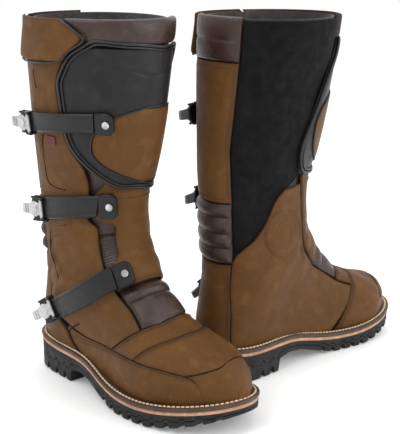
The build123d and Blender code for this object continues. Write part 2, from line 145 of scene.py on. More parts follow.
# ---------------------------------------------------------------- mesh helpers
def piece(name, parts, side, material, body, node=None, edge_shade=None, angle=38):
    """One object from [(vertices in mm, faces), ...], riding on its body."""
    verts, faces, start = [], [], 0
    for points, quads in parts:
        verts.append(np.asarray(points, float).reshape(-1, 3))
        faces += [[start + i for i in (f[::-1] if side == "left" else f)] for f in quads]
        start += len(verts[-1])
    mesh = bpy.data.meshes.new(f"{side}_{name}_look")
    mesh.from_pydata(place(np.concatenate(verts), side).tolist(), [], faces)
    mesh.validate()
    mesh.polygons.foreach_set("use_smooth", [True] * len(mesh.polygons))
    mesh.set_sharp_from_angle(angle=radians(angle))
    # The mask of painted shade along the panel borders rides on the mesh as a point attribute.
    if edge_shade is not None:
        mesh.attributes.new("edge_shade", "FLOAT", "POINT").data.foreach_set("value", edge_shade.astype(np.float32))
    obj = bpy.data.objects.new(f"{side}_{name}_look", mesh)
    bpy.context.scene.collection.objects.link(obj)
    mesh.materials.append(material)
    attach(obj, f"{side}_{body}")
    if node:
        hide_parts(*[f"{side}_{n}" for n in ([node] if isinstance(node, str) else node)])
    return obj


def grid_solid(out, back):
    """Closed sheet between two matching grids of points."""
    nu, nt = out.shape[:2]
    count = nu * nt
    index = np.arange(count).reshape(nu, nt)
    a, b, c, d = index[:-1, :-1], index[:-1, 1:], index[1:, 1:], index[1:, :-1]
    front = np.stack([a, d, c, b], -1).reshape(-1, 4)
    rear = (front + count)[:, ::-1]
    ring = np.concatenate([index[0, :-1], index[:-1, -1], index[-1, :0:-1], index[:0:-1, 0]])
    follow = np.roll(ring, -1)
    rimfaces = np.stack([ring, follow, follow + count, ring + count], -1)
    return np.concatenate([out.reshape(-1, 3), back.reshape(-1, 3)]), np.concatenate([front, rear, rimfaces]).tolist()


def edge_warp(n):
    """n places in 0..1, closer together near both ends."""
    t = np.linspace(0, 1, n)
    return 0.55 * t + 0.45 * (0.5 - 0.5 * np.cos(pi * t))


def welt_top(x):
    return spline(*zip(*RUBBER_TOP), np.clip(x, -14, 300)) + 9.2


def sheet(top, bottom, left, right, inner, outer, step=1.5, roll=1.1, puff=0.0, puff_width=8.0,
          relief=None, cut=False):
    """Leather panel: borders top/bottom as u over v, left/right as v over u, rolled edges,
    optional padding, and a relief function of (u, v, edge distance) in mm."""
    top, bottom, left, right = soft(top), soft(bottom), soft(left), soft(right)
    inner, outer = soft(inner), soft(outer)
    middle_v = float(left(0.5) + right(0.5)) / 2
    u0, u1 = float(top(middle_v)), float(bottom(middle_v))
    um = (u0 + u1) / 2
    length = 640 * (u1 - u0)
    width = 460 * abs(float(right(um) - left(um)))
    s, t = np.meshgrid(edge_warp(max(8, int(length / step))), edge_warp(max(8, int(width / step))), indexing="ij")
    u = u0 + (u1 - u0) * s
    v = left(u) + (right(u) - left(u)) * t
    u = top(v) + (bottom(v) - top(v)) * s
    v = left(u) + (right(u) - left(u)) * t
    flat = leg(u, v)
    def run(axis):
        gap = np.linalg.norm(np.diff(flat, axis=axis), axis=-1)
        pad = [(0, 0), (0, 0)]
        pad[axis] = (1, 0)
        total = np.cumsum(np.pad(gap, pad), axis=axis)
        return np.minimum(total, np.take(total, [-1], axis=axis) - total)
    near = np.minimum(run(0), run(1))
    high = outer(u) - roll * (1 - np.sqrt(1 - (1 - np.clip(near / roll, 0, 1)) ** 2)) if roll else outer(u)
    high = high + puff * (1 - np.exp(-(near / puff_width) ** 1.5))
    if relief:
        high = high + relief(u, v, near)
    out, back = leg(u, v, high), leg(u, v, np.minimum(inner(u), high - 0.5))
    if cut:
        for p, lift in ((out, -1.0), (back, -1.6)):
            p[..., 2] = np.maximum(p[..., 2], welt_top(p[..., 0]) + lift)
    verts, faces = grid_solid(out, back)
    # Mask for the painted seam shade: 1 at the panel border, fading out over a few mm.
    edge = np.exp(-(near / 3.0) ** 2).ravel()
    return (verts, faces), np.concatenate([edge, edge])


def panel(name, side, material, body="boot", node=None, **shape):
    part, edge_shade = sheet(**shape)
    return piece(name, [part], side, material, body, node, edge_shade)


def tube_on(path, radius, lift=0.0, closed=False, sides=8, step=1.5, flat=1.0):
    """Round cord laid on the leather along a smooth (u, v) path."""
    path = np.array(path, float)
    marks = np.arange(len(path) + (1 if closed else 0))
    knots = np.vstack([path, path[:1]]) if closed else path
    rough = leg(*spline(marks, knots, np.linspace(0, marks[-1], 200)).T)
    length = np.linalg.norm(np.diff(rough, axis=0), axis=1).sum()
    uv = spline(marks, knots, np.linspace(0, marks[-1], max(6, int(length / step))))
    if closed:
        uv = uv[:-1]
    return sweep(*ring_frames(uv, lift), radius, closed, sides, flat)


def ring_frames(uv, lift):
    centre = leg(uv[:, 0], uv[:, 1])
    normal = np.array([leg_frame(u, v)[1] for u, v in uv])
    return centre + normal * lift, normal


def sweep(centre, normal, radius, closed=False, sides=8, flat=1.0):
    ahead = np.gradient(centre, axis=0)
    if closed:
        ahead = np.roll(centre, -1, axis=0) - np.roll(centre, 1, axis=0)
    ahead /= np.linalg.norm(ahead, axis=1, keepdims=True)
    across = np.cross(ahead, normal)
    across /= np.linalg.norm(across, axis=1, keepdims=True)
    turn = np.linspace(0, 2 * pi, sides, endpoint=False)
    rings = (centre[:, None] + radius * (np.cos(turn)[None, :, None] * across[:, None]
                                         + flat * np.sin(turn)[None, :, None] * normal[:, None]))
    n = len(centre)
    index = np.arange(n * sides).reshape(n, sides)
    faces = []
    for i in range(n if closed else n - 1):
        a, b = index[i], index[(i + 1) % n]
        faces += [[a[k], b[k], b[(k + 1) % sides], a[(k + 1) % sides]] for k in range(sides)]
    if not closed:
        faces += [index[0].tolist(), index[-1][::-1].tolist()]
    return rings.reshape(-1, 3), [[int(i) for i in f] for f in faces]


def stitches(path, pitch=3.4, length=2.3, radius=0.36, lift=0.15, smooth=True):
    """Row of thread stitches along a (u, v) path, as many small capsules."""
    path = np.array(path, float)
    marks = np.arange(len(path))
    at = np.linspace(0, marks[-1], 300)
    uv = spline(marks, path, at) if smooth else np.stack([np.interp(at, marks, path[:, k]) for k in (0, 1)], 1)
    points, normals = ring_frames(uv, lift)
    return stitch_row(points, normals, pitch, length, radius)


def stitch_row(points, normals, pitch, length, radius):
    run = np.concatenate([[0], np.cumsum(np.linalg.norm(np.diff(points, axis=0), axis=1))])
    parts = []
    shape = np.array([(-0.5, 0.35), (-0.36, 1.0), (0.36, 1.0), (0.5, 0.35)])
    for mid in np.arange(pitch / 2, run[-1] - length / 2, pitch):
        at = mid + shape[:, 0] * length
        centre = np.stack([np.interp(at, run, points[:, k]) for k in range(3)], 1)
        normal = np.stack([np.interp(at, run, normals[:, k]) for k in range(3)], 1)
        verts, faces = sweep(centre, normal, 1.0, sides=6)
        rings = verts.reshape(4, 6, 3)
        rings = centre[:, None] + (rings - centre[:, None]) * (shape[:, 1] * radius)[:, None, None]
        rings = rings - normal[:, None] * (0.3 * (shape[:, 1] < 0.9))[:, None, None]
        parts.append((rings.reshape(-1, 3), faces))
    return parts


def block(outline, low, high, bevel, plane, segments=3):
    """Prism over a 2D outline with rounded edges, set into a plane (origin, x, y, z)."""
    bm = bmesh.new()
    base = bm.faces.new([bm.verts.new((x, y, low)) for x, y in outline])
    grown = bmesh.ops.extrude_face_region(bm, geom=[base])
    bmesh.ops.translate(bm, vec=(0, 0, high - low), verts=[g for g in grown["geom"] if isinstance(g, bmesh.types.BMVert)])
    bmesh.ops.recalc_face_normals(bm, faces=bm.faces)
    if bevel:
        sharp = [e for e in bm.edges if e.calc_face_angle(0) > radians(30)]
        bmesh.ops.bevel(bm, geom=sharp, offset=bevel, segments=segments, affect="EDGES", clamp_overlap=True)
    origin, x, y, z = plane
    verts = np.array([tuple(v.co) for v in bm.verts])
    bm.verts.index_update()
    faces = [[v.index for v in f.verts] for f in bm.faces]
    bm.free()
    return origin + verts @ np.array([x, y, z]), faces


def box2d(x0, x1, y0, y1):
    return [(x0, y0), (x1, y0), (x1, y1), (x0, y1)]


def disc2d(radius, count=28, x=0.0, y=0.0):
    return [(x + radius * cos(2 * pi * k / count), y + radius * sin(2 * pi * k / count)) for k in range(count)]


def strap_plane(u, v):
    """Plane on the leather: x back along the strap, y across it, z away from the leg."""
    origin, normal, around, _ = leg_frame(u, v)
    x = -around
    return origin, x, np.cross(normal, x), normal


# ---------------------------------------------------------------- materials
def material(name, base, dark=None, light=None, rough=0.5, metal=0.0, blotch=28.0, grain=0.0, grain_scale=900.0,
             weave=0.0, weave_scale=1400.0, edge_shade=0.0, coat=0.0, sheen=0.0, scratches=0.0, vary=0.12, specular=0.5):
    """Procedural surface: mottled colour, lighter worn scratches, painted shade darkening the panel edges, grain or
    weave, bump.
    """
    mat = bpy.data.materials.new(name)
    mat.use_nodes = True
    nodes, links = mat.node_tree.nodes, mat.node_tree.links
    shader = nodes["Principled BSDF"]
    shader.inputs["Metallic"].default_value = metal
    shader.inputs["Coat Weight"].default_value = coat
    shader.inputs["Sheen Weight"].default_value = sheen
    shader.inputs["Specular IOR Level"].default_value = specular
    where = nodes.new("ShaderNodeTexCoord").outputs["Object"]

    def noise(scale, detail=4.0, roughness=0.55):
        node = nodes.new("ShaderNodeTexNoise")
        node.inputs["Scale"].default_value = scale
        node.inputs["Detail"].default_value = detail
        node.inputs["Roughness"].default_value = roughness
        links.new(where, node.inputs["Vector"])
        return node.outputs["Fac"]

    def spread(value, low, high, a=0.0, b=1.0):
        node = nodes.new("ShaderNodeMapRange")
        for key, number in (("From Min", low), ("From Max", high), ("To Min", a), ("To Max", b)):
            node.inputs[key].default_value = number
        links.new(value, node.inputs["Value"])
        return node.outputs["Result"]

    def mix(factor, a, b):
        node = nodes.new("ShaderNodeMix")
        node.data_type = "RGBA"
        links.new(factor, node.inputs[0])
        for socket, colour in ((node.inputs[6], a), (node.inputs[7], b)):
            if isinstance(colour, tuple):
                socket.default_value = (*colour, 1.0)
            else:
                links.new(colour, socket)
        return node.outputs[2]

    dark = dark or tuple(c * 0.62 for c in base)
    light = light or tuple(min(1.0, c * 1.45) for c in base)
    colour = mix(spread(noise(blotch), 0.34, 0.66), dark, base)
    colour = mix(spread(noise(blotch * 3.1, 6.0), 0.52, 0.78), colour, light)
    if scratches:
        colour = mix(spread(noise(blotch * 9, 8.0, 0.7), 0.60, 0.72, 0.0, scratches), colour, light)
    # Painted shade: near each panel border the colour is darkened towards 0.35 of the base, standing in for the shade
    # in the seams between panels.
    if edge_shade:
        attribute = nodes.new("ShaderNodeAttribute")
        attribute.attribute_name = "edge_shade"
        colour = mix(spread(attribute.outputs["Fac"], 0.0, 1.0, 0.0, edge_shade), colour, tuple(c * 0.35 for c in base))
    links.new(colour, shader.inputs["Base Color"])
    links.new(spread(noise(blotch * 2.3), 0.3, 0.7, rough - vary, rough + vary), shader.inputs["Roughness"])
    height = None
    if grain:
        cells = nodes.new("ShaderNodeTexVoronoi")
        cells.feature = "DISTANCE_TO_EDGE"
        cells.inputs["Scale"].default_value = grain_scale
        links.new(where, cells.inputs["Vector"])
        height = (spread(cells.outputs["Distance"], 0.0, 0.25), grain)
    if weave:
        thread = nodes.new("ShaderNodeTexWave")
        thread.inputs["Scale"].default_value = weave_scale / 6
        thread.inputs["Distortion"].default_value = 1.5
        thread.bands_direction = "Z"
        links.new(where, thread.inputs["Vector"])
        height = (thread.outputs["Fac"], weave)
    fine = nodes.new("ShaderNodeBump")
    fine.inputs["Strength"].default_value = 0.35
    fine.inputs["Distance"].default_value = 0.0006
    links.new(noise(240.0, 8.0), fine.inputs["Height"])
    last = fine
    if height:
        last = nodes.new("ShaderNodeBump")
        last.inputs["Strength"].default_value = height[1]
        last.inputs["Distance"].default_value = 0.0003
        links.new(height[0], last.inputs["Height"])
        links.new(fine.outputs["Normal"], last.inputs["Normal"])
    links.new(last.outputs["Normal"], shader.inputs["Normal"])
    return mat


OILED = material("oiled_leather", (0.106, 0.045, 0.010), (0.084, 0.035, 0.0075), (0.138, 0.062, 0.015), rough=0.55,
                 blotch=22, grain=0.30, edge_shade=0.45, scratches=0.25, specular=0.18)
PADDED = material("padded_leather", (0.040, 0.019, 0.014), (0.026, 0.012, 0.009), (0.062, 0.031, 0.023), rough=0.34,
                  blotch=34, grain=0.3, grain_scale=700, edge_shade=0.5, specular=0.4)
STRETCH = material("stretch", (0.0045, 0.0042, 0.0045), rough=0.9, blotch=40, weave=0.4, edge_shade=0.3, specular=0.18)
GUARD = material("shin_guard", (0.014, 0.013, 0.014), (0.010, 0.009, 0.010), (0.022, 0.020, 0.021), rough=0.5, specular=0.25, blotch=22,
                 grain=0.18, grain_scale=500, scratches=0.2)
PLASTIC = material("buckle_plastic", (0.006, 0.006, 0.007), rough=0.34, specular=0.35, blotch=60, grain=0.15, grain_scale=1500)
PIPING = material("piping", (0.006, 0.0055, 0.0055), rough=0.42, blotch=50, grain=0.2)
ALLOY = material("lever_alloy", (0.52, 0.52, 0.53), (0.42, 0.42, 0.43), (0.66, 0.66, 0.67), rough=0.32, metal=0.55, blotch=70,
                 vary=0.08)
RUBBER = material("rubber", (0.009, 0.010, 0.009), (0.006, 0.0065, 0.006), (0.018, 0.019, 0.017), rough=0.60, specular=0.3, blotch=30,
                  grain=0.15, grain_scale=600, scratches=0.3)
TAN = material("midsole", (0.50, 0.28, 0.17), (0.34, 0.18, 0.11), (0.62, 0.38, 0.25), rough=0.6, blotch=50, grain=0.2)
WELT = material("welt_leather", (0.062, 0.027, 0.012), rough=0.5, blotch=40, grain=0.3, scratches=0.4)
CREAM = material("welt_thread", (0.66, 0.54, 0.37), (0.50, 0.38, 0.24), (0.80, 0.70, 0.52), rough=0.75, blotch=160, weave=0.5)
THREAD = material("seam_thread", (0.055, 0.030, 0.018), rough=0.7, blotch=160, weave=0.5)
BLACK_THREAD = material("dark_thread", (0.02, 0.018, 0.017), rough=0.7, blotch=160, weave=0.5)
MESH = material("lining_mesh", (0.045, 0.040, 0.036), rough=0.9, blotch=60, weave=0.6, weave_scale=2400, sheen=0.2)
BOARD = material("board", (0.33, 0.25, 0.16), rough=0.8, blotch=80)
STEEL = material("screw_steel", (0.50, 0.50, 0.52), rough=0.32, metal=1.0, blotch=80)
SEAM = material("seam_shadow", (0.022, 0.009, 0.004), rough=0.7, blotch=60, grain=0.2, specular=0.1)
RED = material("label", (0.11, 0.008, 0.006), rough=0.6, blotch=90, weave=0.5)

# ---------------------------------------------------------------- borders of the panels
PLATE_LATERAL = [(0.045, 0.832), (0.055, 0.812), (0.072, 0.792), (0.098, 0.775), (0.120, 0.768), (0.168, 0.771),
                 (0.200, 0.775), (0.225, 0.783), (0.250, 0.803), (0.275, 0.836), (0.295, 0.873), (0.312, 0.920)]
PLATE_MEDIAL = [(0.045, 1.105), (0.070, 1.140), (0.105, 1.174), (0.150, 1.193), (0.190, 1.206), (0.247, 1.226),
                (0.290, 1.215), (0.312, 1.200)]
INLAY_LATERAL = [(0.150, 0.975), (0.160, 0.925), (0.170, 0.892), (0.188, 0.856), (0.215, 0.838), (0.245, 0.840),
                 (0.268, 0.871), (0.288, 0.928), (0.304, 1.000)]
INLAY_MEDIAL = [(0.150, 1.080), (0.163, 1.140), (0.180, 1.171), (0.203, 1.186), (0.233, 1.183), (0.263, 1.167),
                (0.290, 1.120), (0.304, 1.050)]
FLAP_MEDIAL = [(0.318, 1.188), (0.372, 1.172), (0.408, 1.174), (0.458, 1.176), (0.505, 1.170), (0.560, 1.150),
               (0.600, 1.134)]
REAR_MEDIAL = [(0.0, 0.452), (0.250, 0.446), (0.297, 0.435), (0.343, 0.426), (0.445, 0.428)]
COUNTER_MEDIAL = [(0.445, 0.434), (0.482, 0.437), (0.527, 0.412), (0.570, 0.394), (0.660, 0.396)]
STRETCH_FRONT = [(0.0, 0.128), (0.100, 0.145), (0.200, 0.170), (0.300, 0.178), (0.322, 0.205), (0.336, 0.250),
                 (0.350, 0.273), (0.372, 0.290), (0.393, 0.310), (0.415, 0.345), (0.430, 0.405)]
REAR_LATERAL = [(0.0, 0.618), (0.350, 0.630), (0.440, 0.660), (0.520, 0.697), (0.600, 0.731), (0.660, 0.712)]
FOXING_TOP = [(0.600, 0.744), (0.642, 0.756), (0.713, 0.787), (0.760, 0.813), (0.805, 0.836), (0.875, 0.857),
              (0.920, 0.858), (0.940, 0.840), (0.955, 0.807), (0.963, 0.775)]
VAMP_TOP = [(0.786, 0.715), (0.833, 0.725), (0.887, 0.735), (0.968, 0.748), (1.067, 0.733), (1.13, 0.730)]
TOE_SEAM = [(0.60, 0.802), (0.839, 0.802), (0.876, 0.805), (0.914, 0.812), (0.972, 0.823), (1.042, 0.818),
            (1.097, 0.797), (1.193, 0.790), (1.268, 0.800), (1.42, 0.806)]
STRAPS = [
    ("upper", [(0.181, 0.846), (0.184, 0.800), (0.189, 0.745), (0.194, 0.700), (0.198, 0.664)], 20, 2.6),
    ("middle", [(0.352, 0.868), (0.355, 0.815), (0.359, 0.765), (0.363, 0.722), (0.366, 0.686)], 24, 3.4),
    ("lower", [(0.553, 0.902), (0.556, 0.850), (0.559, 0.800), (0.558, 0.755), (0.554, 0.716)], 24, 4.2)]


# ---------------------------------------------------------------- relief, in mm
def creases(u, v, near):
    """Soft walking creases in the leather of ankle and instep."""
    band = np.exp(-((u - 0.50) / 0.09) ** 2)
    wave = np.sin(130 * u + 9 * np.sin(7 * v + 3 * u)) + 0.6 * np.sin(61 * u - 31 * v)
    return 0.45 * band * wave * np.clip(near / 6, 0, 1)


def bulges(u, v, near):
    """Slow unevenness of worn leather."""
    wave = np.sin(17 * u + 11 * v) * np.sin(23 * v - 9 * u) + 0.5 * np.sin(41 * u + 5 * np.sin(19 * v))
    return 0.5 * wave * np.clip(near / 10, 0, 1)


def worn(u, v, near):
    return creases(u, v, near) + bulges(u, v, near)


def groove_at(value, centre, width, depth):
    return -depth * np.exp(-((value - centre) / width) ** 2)


def rib_rows(u, edges, height, sharpness=0.6):
    """Padded ribs between the given u edges."""
    edges = np.array(edges)
    k = np.clip(np.searchsorted(edges, u) - 1, 0, len(edges) - 2)
    t = np.clip((u - edges[k]) / (edges[k + 1] - edges[k]), 0, 1)
    return height * np.sin(pi * t) ** sharpness


def ankle_disc(u, v, near):
    """Moulded ankle protector showing through: two rings and three arcs."""
    centre = leg(0.42, 0.26)
    r = np.linalg.norm(leg(u, v) - centre, axis=-1)
    shape = 1.8 / (1 + np.exp((r - 25) / 0.8))
    for ring in (9.0, 15.5, 21.0):
        shape = shape + groove_at(r, ring, 0.9, 0.8)
    return shape + groove_at(r, 26.5, 1.2, 0.9) + worn(u, v, near) * (r > 30)


def rear_ribs(u, v, near):
    return rib_rows(u, (0.345, 0.368, 0.396, 0.420, 0.443), 4.2) * np.clip(near / 5, 0, 1) ** 0.7


def tongue_relief(u, v, near):
    ribs = 0.25 * np.sin(2 * pi * (u - 0.385) / 0.0075) * (u > 0.385) * (u < 0.51) + groove_at(u, 0.43, 0.0035, 2.2)
    instep = rib_rows(u, (0.592, 0.642, 0.742), 3.6, 0.45) * (u > 0.592)
    return ribs + instep * np.clip(near / 5, 0, 1)


def plate_relief(u, v, near):
    line = soft([(0.88, 0.074), (0.93, 0.082), (0.965, 0.091), (1.003, 0.093), (1.04, 0.089), (1.09, 0.079)])(v)
    return groove_at(u, line, 0.0022, 0.9) * (v > 0.885) * (v < 1.10) + 0.6 * np.clip(near / 14, 0, 1)


def top_flap_relief(u, v, near):
    return 2.2 * np.clip((u - 0.02) / 0.05, 0, 1) * np.clip(near / 3, 0, 1) + bulges(u, v, near) * 0.5


def counter_relief(u, v, near):
    return groove_at(u, 0.475, 0.003, 0.6) + bulges(u, v, near)


def stretch_relief(u, v, near):
    return 0.7 * np.sin(9 * u * pi + 4 * v) * np.clip(near / 8, 0, 1) + 0.35 * np.sin(60 * u + 12 * v)


# ---------------------------------------------------------------- sole
def outline(inset=0.0, count=900):
    """The sole's plan as a smooth closed ring, inset in mm, with its outward normals."""
    n = len(SOLE_PLAN)
    wide = SOLE_PLAN * 3
    points = spline(np.arange(3 * n), wide, np.linspace(n, 2 * n, count, endpoint=False))
    ahead = np.roll(points, -1, axis=0) - np.roll(points, 1, axis=0)
    ahead /= np.linalg.norm(ahead, axis=1, keepdims=True)
    out = np.stack([ahead[:, 1], -ahead[:, 0]], 1) * (-1 if np.cross(points[1] - points[0], points[2] - points[0]) > 0 else 1)
    centre = points.mean(0)
    if ((points - centre) * out).sum() < 0:
        out = -out
    return points - out * inset, out


def rubber_top(x):
    return spline(*zip(*RUBBER_TOP), np.clip(x, -14, 300))


def tread(x):
    return np.interp(x, [p[0] for p in TREAD], [p[1] for p in TREAD])


def lug_height(points, reach):
    """Height of the underside: lugs round the edge, grooves between them."""
    x, y = points[:, 0], points[:, 1]
    z = tread(x)
    for centre in (8, 27, 46, 62):
        z = np.maximum(z, 8.0 / (1 + np.exp((np.abs(x - centre) - 2.6) / 0.25)) * (np.abs(y) > 17))
    for centre in range(150, 291, 15):
        slot = 6.2 / (1 + np.exp((np.abs(x - centre) - 2.9) / 0.25)) * (np.abs(y) > 15)
        z = z + slot * (x > 140)
    return np.minimum(z, rubber_top(points[:, 0]) - 5)


def rings_solid(rings):
    """Closed solid from matching closed rings, capped by fans to their middle lines."""
    n = rings[0].shape[0]
    verts = np.concatenate(rings)
    faces = []
    for k in range(len(rings) - 1):
        a, b = np.arange(n) + k * n, np.arange(n) + (k + 1) * n
        faces.append(np.stack([a, np.roll(a, -1), np.roll(b, -1), b], -1))
    faces = np.concatenate(faces).tolist()
    faces = [f[::-1] for f in faces] if ring_turn(rings[0]) < 0 else faces
    return verts, faces


def ring_turn(ring):
    x, y = ring[:, 0], ring[:, 1]
    return np.sum(x * np.roll(y, -1) - y * np.roll(x, -1))


def spine(ring):
    """Each ring point's partner on the sole's middle line, so a cap can be a strip."""
    x = np.clip(ring[:, 0] * 0.86 + 20, 14, 270)
    middle = np.interp(x, [0, 100, 200, 290], [0, -3, -1, 12])
    return np.stack([x, middle], 1)


def slab(low, high, proud, side_profile):
    """Layer of the sole between two height functions, its wall shaped by (share, inset)."""
    rings = []
    for share, inset in side_profile:
        xy, _ = outline(inset - proud)
        z = low(xy) + (high(xy) - low(xy)) * share
        rings.append(np.column_stack([xy, z]))
    first, last = rings[0], rings[-1]
    under, over = [], []
    for f in np.linspace(1, 0, 9)[:-1]:
        xy = first[:, :2] * (1 - f) + spine(first) * f
        under.append(np.column_stack([xy, low(xy)]))
        xy = last[:, :2] * f + spine(last) * (1 - f)
    for f in np.linspace(0, 1, 7)[1:]:
        xy = last[:, :2] * (1 - f) + spine(last) * f
        over.append(np.column_stack([xy, high(xy)]))
    return rings_solid(under + rings + over)


def welt_ring(low, high):
    profile = [(11, low), (0.4, low), (-0.8, low + 0.8), (-1.2, (low + high) / 2), (-0.8, high - 0.8), (0.4, high),
               (2.0, high + 0.1), (3.2, high - 0.4), (4.4, high + 0.1), (11, high), (11, low)]
    rings = [np.column_stack([outline(inset)[0], rubber_top(outline(inset)[0][:, 0]) + z]) for inset, z in profile]
    verts, faces = rings_solid(rings[:-1])
    n = len(rings[0])
    a, b = np.arange(n) + (len(rings) - 2) * n, np.arange(n)
    close = np.stack([a, np.roll(a, -1), np.roll(b, -1), b], -1).tolist()
    if ring_turn(rings[0]) < 0:
        close = [f[::-1] for f in close]
    return verts, faces + close


def sole(side):
    wall = [(0.0, 1.2), (0.04, 0.0), (0.45, 0.2), (0.52, 1.3), (0.58, 0.2), (0.94, 0.0), (1.0, 0.6)]
    piece("outsole", [slab(lambda p: lug_height(p, 0), lambda p: rubber_top(p[:, 0]), 0, wall)], side, RUBBER, "boot", "outsole")
    piece("midsole", [slab(lambda p: rubber_top(p[:, 0]) + 0.1, lambda p: rubber_top(p[:, 0]) + 4.0, -0.4,
                           [(0, 0.4), (0.15, 0), (0.5, -0.3), (0.85, 0), (1, 0.4)])], side, TAN, "boot", "midsole")
    piece("welt", [welt_ring(4.1, 9.0)], side, WELT, "boot", "welt")
    ring, _ = outline(3.2)
    points = np.column_stack([ring, rubber_top(ring[:, 0]) + 9.0])
    points = np.vstack([points, points[:1]])
    piece("welt_stitch", stitch_row(points, np.tile([0.0, 0.0, 1.0], (len(points), 1)), 5.0, 4.2, 1.2), side, CREAM, "boot")


# ---------------------------------------------------------------- upper
def toe_tip(count=64, levels=9):
    """Rounded end that closes the toe cap."""
    turns = np.linspace(0, 1, count, endpoint=False)
    last = leg(0.9985, turns, 0.9)
    centre, ahead = last.mean(0), np.array([1.0, 0.0, 0.25])
    rings = [leg(0.975, turns, 0.6), leg(0.988, turns, 0.75)]
    for a in np.linspace(0, pi / 2 * 0.97, levels):
        rings.append(centre + (last - centre) * cos(a) + ahead * 3.2 * sin(a))
    verts = np.concatenate(rings)
    verts[:, 2] = np.maximum(verts[:, 2], welt_top(verts[:, 0]) - 1.0)
    index = np.arange(len(verts)).reshape(-1, count)
    faces = [[a[k], b[k], b[(k + 1) % count], a[(k + 1) % count]] for a, b in zip(index, index[1:]) for k in range(count)]
    faces += [index[0].tolist(), index[-1][::-1].tolist()]
    return verts, [[int(i) for i in f] for f in faces]


